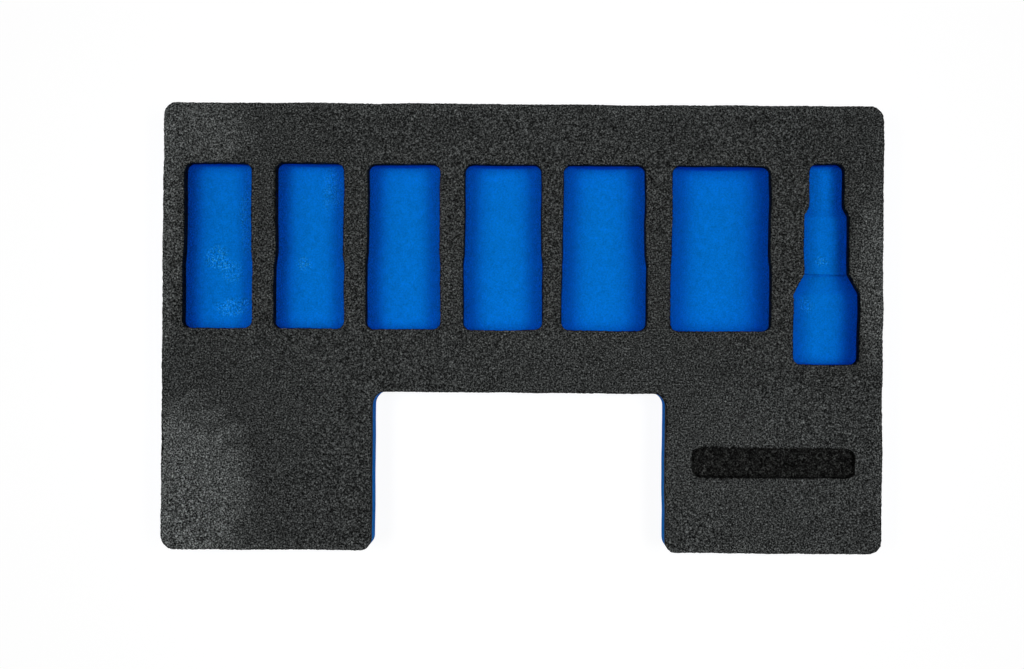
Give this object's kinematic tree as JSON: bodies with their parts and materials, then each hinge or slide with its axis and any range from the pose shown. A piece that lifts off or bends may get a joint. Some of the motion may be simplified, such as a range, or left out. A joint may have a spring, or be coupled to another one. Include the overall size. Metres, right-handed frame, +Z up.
{
  "type": "tool tray insert",
  "caption": "Two-colour foam insert for a tool drawer, with half-round pockets for deep sockets, a stepped pocket, a label recess and a front notch.",
  "frame": {"origin": "centre of the underside's outline, on the surface that the insert rests on", "axes": "+X to the right along the long side, +Y from the notched front edge to the back, +Z up out of the pockets"},
  "size_m": [0.36, 0.2234, 0.035],
  "materials": {
    "charcoal_foam": "matte",
    "blue_foam": "matte",
    "bonding_film": "matte"
  },
  "bodies": {
    "root": {"base_foam_layer": "blue_foam", "bonding_film": "bonding_film", "top_foam_layer": "charcoal_foam"}
  },
  "joints": []
}
